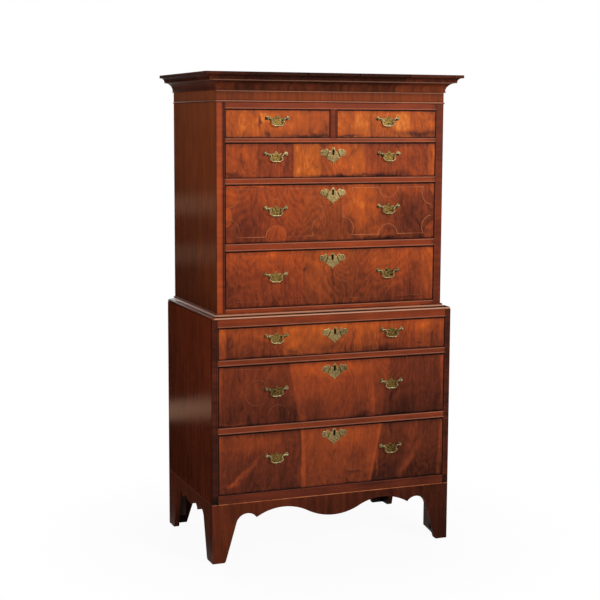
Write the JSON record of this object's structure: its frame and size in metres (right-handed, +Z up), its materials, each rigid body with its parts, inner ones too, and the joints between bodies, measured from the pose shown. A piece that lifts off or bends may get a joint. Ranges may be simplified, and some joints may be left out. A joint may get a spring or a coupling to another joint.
{
  "type": "chest on chest",
  "caption": "Tall chest of drawers in two cases on bracket feet, with sliding drawers, brass batwing handles, lock escutcheons, waist moulding and cornice.",
  "frame": {"origin": "on the floor, under the middle of the whole piece's outline seen from above", "axes": "+Z up, +X to the viewer's right when facing the drawers, drawers open towards -Y"},
  "size_m": [1.012, 0.602, 1.79],
  "materials": {
    "figured_walnut": "figured walnut veneer with boxwood stringing, waxed polish",
    "walnut": "straight and cross-grained walnut, waxed polish",
    "oak": "plain oak drawer linings, unpolished",
    "pine": "aged pine, unpolished",
    "brass": "cast brass with an old patina",
    "lock_iron": "wrought iron, oiled"
  },
  "bodies": {
    "root": {"lower_sides": "walnut", "upper_sides": "walnut", "lower_top_and_bottom": "pine", "upper_top_and_bottom": "pine", "lower_back_boards": "pine", "upper_back_boards": "pine", "lower_front_frame": "walnut", "upper_front_frame": "walnut", "lower_runners": "pine", "upper_runners": "pine", "drawer_stops": "pine", "frieze": "walnut", "cornice": "walnut", "waist_moulding": "walnut", "bracket_base": "walnut", "glue_blocks": "pine"},
    "lower_drawer_3": {"lower_drawer_3_front": "figured_walnut", "lower_drawer_3_box": "oak", "lower_drawer_3_brasses": "brass"},
    "lower_drawer_3_left_bail": {"lower_drawer_3_left_bail": "brass"},
    "lower_drawer_3_right_bail": {"lower_drawer_3_right_bail": "brass"},
    "lower_drawer_3_lock_bolt": {"lower_drawer_3_lock_bolt": "lock_iron"},
    "lower_drawer_2": {"lower_drawer_2_front": "figured_walnut", "lower_drawer_2_box": "oak", "lower_drawer_2_brasses": "brass"},
    "lower_drawer_2_left_bail": {"lower_drawer_2_left_bail": "brass"},
    "lower_drawer_2_right_bail": {"lower_drawer_2_right_bail": "brass"},
    "lower_drawer_2_lock_bolt": {"lower_drawer_2_lock_bolt": "lock_iron"},
    "lower_drawer_1": {"lower_drawer_1_front": "figured_walnut", "lower_drawer_1_box": "oak", "lower_drawer_1_brasses": "brass"},
    "lower_drawer_1_left_bail": {"lower_drawer_1_left_bail": "brass"},
    "lower_drawer_1_right_bail": {"lower_drawer_1_right_bail": "brass"},
    "lower_drawer_1_lock_bolt": {"lower_drawer_1_lock_bolt": "lock_iron"},
    "upper_drawer_3": {"upper_drawer_3_front": "figured_walnut", "upper_drawer_3_box": "oak", "upper_drawer_3_brasses": "brass"},
    "upper_drawer_3_left_bail": {"upper_drawer_3_left_bail": "brass"},
    "upper_drawer_3_right_bail": {"upper_drawer_3_right_bail": "brass"},
    "upper_drawer_3_lock_bolt": {"upper_drawer_3_lock_bolt": "lock_iron"},
    "upper_drawer_2": {"upper_drawer_2_front": "figured_walnut", "upper_drawer_2_box": "oak", "upper_drawer_2_brasses": "brass"},
    "upper_drawer_2_left_bail": {"upper_drawer_2_left_bail": "brass"},
    "upper_drawer_2_right_bail": {"upper_drawer_2_right_bail": "brass"},
    "upper_drawer_2_lock_bolt": {"upper_drawer_2_lock_bolt": "lock_iron"},
    "upper_drawer_1": {"upper_drawer_1_front": "figured_walnut", "upper_drawer_1_box": "oak", "upper_drawer_1_brasses": "brass"},
    "upper_drawer_1_left_bail": {"upper_drawer_1_left_bail": "brass"},
    "upper_drawer_1_right_bail": {"upper_drawer_1_right_bail": "brass"},
    "upper_drawer_1_lock_bolt": {"upper_drawer_1_lock_bolt": "lock_iron"},
    "top_left_drawer": {"top_left_drawer_front": "figured_walnut", "top_left_drawer_box": "oak", "top_left_drawer_brasses": "brass"},
    "top_left_drawer_bail": {"top_left_drawer_bail": "brass"},
    "top_right_drawer": {"top_right_drawer_front": "figured_walnut", "top_right_drawer_box": "oak", "top_right_drawer_brasses": "brass"},
    "top_right_drawer_bail": {"top_right_drawer_bail": "brass"}
  },
  "joints": [
    {"name": "lower_drawer_3_slide", "type": "slide", "parent": "root", "child": "lower_drawer_3", "axis": [0, -1, 0], "range_m": [0, 0.42]},
    {"name": "lower_drawer_3_left_bail_swing", "type": "hinge", "parent": "lower_drawer_3", "child": "lower_drawer_3_left_bail", "pos_m": [-0.232, -0.2848, 0.392], "axis": [-1, 0, 0], "range_deg": [-8, 180]},
    {"name": "lower_drawer_3_right_bail_swing", "type": "hinge", "parent": "lower_drawer_3", "child": "lower_drawer_3_right_bail", "pos_m": [0.232, -0.2848, 0.392], "axis": [-1, 0, 0], "range_deg": [-8, 180]},
    {"name": "lower_drawer_3_lock_bolt_throw", "type": "slide", "parent": "lower_drawer_3", "child": "lower_drawer_3_lock_bolt", "axis": [0, 0, 1], "range_m": [0, 0.008]},
    {"name": "lower_drawer_2_slide", "type": "slide", "parent": "root", "child": "lower_drawer_2", "axis": [0, -1, 0], "range_m": [0, 0.42]},
    {"name": "lower_drawer_2_left_bail_swing", "type": "hinge", "parent": "lower_drawer_2", "child": "lower_drawer_2_left_bail", "pos_m": [-0.232, -0.2848, 0.642], "axis": [-1, 0, 0], "range_deg": [-8, 180]},
    {"name": "lower_drawer_2_right_bail_swing", "type": "hinge", "parent": "lower_drawer_2", "child": "lower_drawer_2_right_bail", "pos_m": [0.232, -0.2848, 0.642], "axis": [-1, 0, 0], "range_deg": [-8, 180]},
    {"name": "lower_drawer_2_lock_bolt_throw", "type": "slide", "parent": "lower_drawer_2", "child": "lower_drawer_2_lock_bolt", "axis": [0, 0, 1], "range_m": [0, 0.008]},
    {"name": "lower_drawer_1_slide", "type": "slide", "parent": "root", "child": "lower_drawer_1", "axis": [0, -1, 0], "range_m": [0, 0.42]},
    {"name": "lower_drawer_1_left_bail_swing", "type": "hinge", "parent": "lower_drawer_1", "child": "lower_drawer_1_left_bail", "pos_m": [-0.232, -0.2848, 0.839], "axis": [-1, 0, 0], "range_deg": [-8, 180]},
    {"name": "lower_drawer_1_right_bail_swing", "type": "hinge", "parent": "lower_drawer_1", "child": "lower_drawer_1_right_bail", "pos_m": [0.232, -0.2848, 0.839], "axis": [-1, 0, 0], "range_deg": [-8, 180]},
    {"name": "lower_drawer_1_lock_bolt_throw", "type": "slide", "parent": "lower_drawer_1", "child": "lower_drawer_1_lock_bolt", "axis": [0, 0, 1], "range_m": [0, 0.008]},
    {"name": "upper_drawer_3_slide", "type": "slide", "parent": "root", "child": "upper_drawer_3", "axis": [0, -1, 0], "range_m": [0, 0.4]},
    {"name": "upper_drawer_3_left_bail_swing", "type": "hinge", "parent": "upper_drawer_3", "child": "upper_drawer_3_left_bail", "pos_m": [-0.225, -0.2548, 1.061], "axis": [-1, 0, 0], "range_deg": [-8, 180]},
    {"name": "upper_drawer_3_right_bail_swing", "type": "hinge", "parent": "upper_drawer_3", "child": "upper_drawer_3_right_bail", "pos_m": [0.225, -0.2548, 1.061], "axis": [-1, 0, 0], "range_deg": [-8, 180]},
    {"name": "upper_drawer_3_lock_bolt_throw", "type": "slide", "parent": "upper_drawer_3", "child": "upper_drawer_3_lock_bolt", "axis": [0, 0, 1], "range_m": [0, 0.008]},
    {"name": "upper_drawer_2_slide", "type": "slide", "parent": "root", "child": "upper_drawer_2", "axis": [0, -1, 0], "range_m": [0, 0.4]},
    {"name": "upper_drawer_2_left_bail_swing", "type": "hinge", "parent": "upper_drawer_2", "child": "upper_drawer_2_left_bail", "pos_m": [-0.225, -0.2548, 1.303], "axis": [-1, 0, 0], "range_deg": [-8, 180]},
    {"name": "upper_drawer_2_right_bail_swing", "type": "hinge", "parent": "upper_drawer_2", "child": "upper_drawer_2_right_bail", "pos_m": [0.225, -0.2548, 1.303], "axis": [-1, 0, 0], "range_deg": [-8, 180]},
    {"name": "upper_drawer_2_lock_bolt_throw", "type": "slide", "parent": "upper_drawer_2", "child": "upper_drawer_2_lock_bolt", "axis": [0, 0, 1], "range_m": [0, 0.008]},
    {"name": "upper_drawer_1_slide", "type": "slide", "parent": "root", "child": "upper_drawer_1", "axis": [0, -1, 0], "range_m": [0, 0.4]},
    {"name": "upper_drawer_1_left_bail_swing", "type": "hinge", "parent": "upper_drawer_1", "child": "upper_drawer_1_left_bail", "pos_m": [-0.225, -0.2548, 1.499], "axis": [-1, 0, 0], "range_deg": [-8, 180]},
    {"name": "upper_drawer_1_right_bail_swing", "type": "hinge", "parent": "upper_drawer_1", "child": "upper_drawer_1_right_bail", "pos_m": [0.225, -0.2548, 1.499], "axis": [-1, 0, 0], "range_deg": [-8, 180]},
    {"name": "upper_drawer_1_lock_bolt_throw", "type": "slide", "parent": "upper_drawer_1", "child": "upper_drawer_1_lock_bolt", "axis": [0, 0, 1], "range_m": [0, 0.008]},
    {"name": "top_left_drawer_slide", "type": "slide", "parent": "root", "child": "top_left_drawer", "axis": [0, -1, 0], "range_m": [0, 0.4]},
    {"name": "top_left_drawer_bail_swing", "type": "hinge", "parent": "top_left_drawer", "child": "top_left_drawer_bail", "pos_m": [-0.219, -0.2548, 1.628], "axis": [-1, 0, 0], "range_deg": [-8, 180]},
    {"name": "top_right_drawer_slide", "type": "slide", "parent": "root", "child": "top_right_drawer", "axis": [0, -1, 0], "range_m": [0, 0.4]},
    {"name": "top_right_drawer_bail_swing", "type": "hinge", "parent": "top_right_drawer", "child": "top_right_drawer_bail", "pos_m": [0.219, -0.2548, 1.628], "axis": [-1, 0, 0], "range_deg": [-8, 180]}
  ]
}
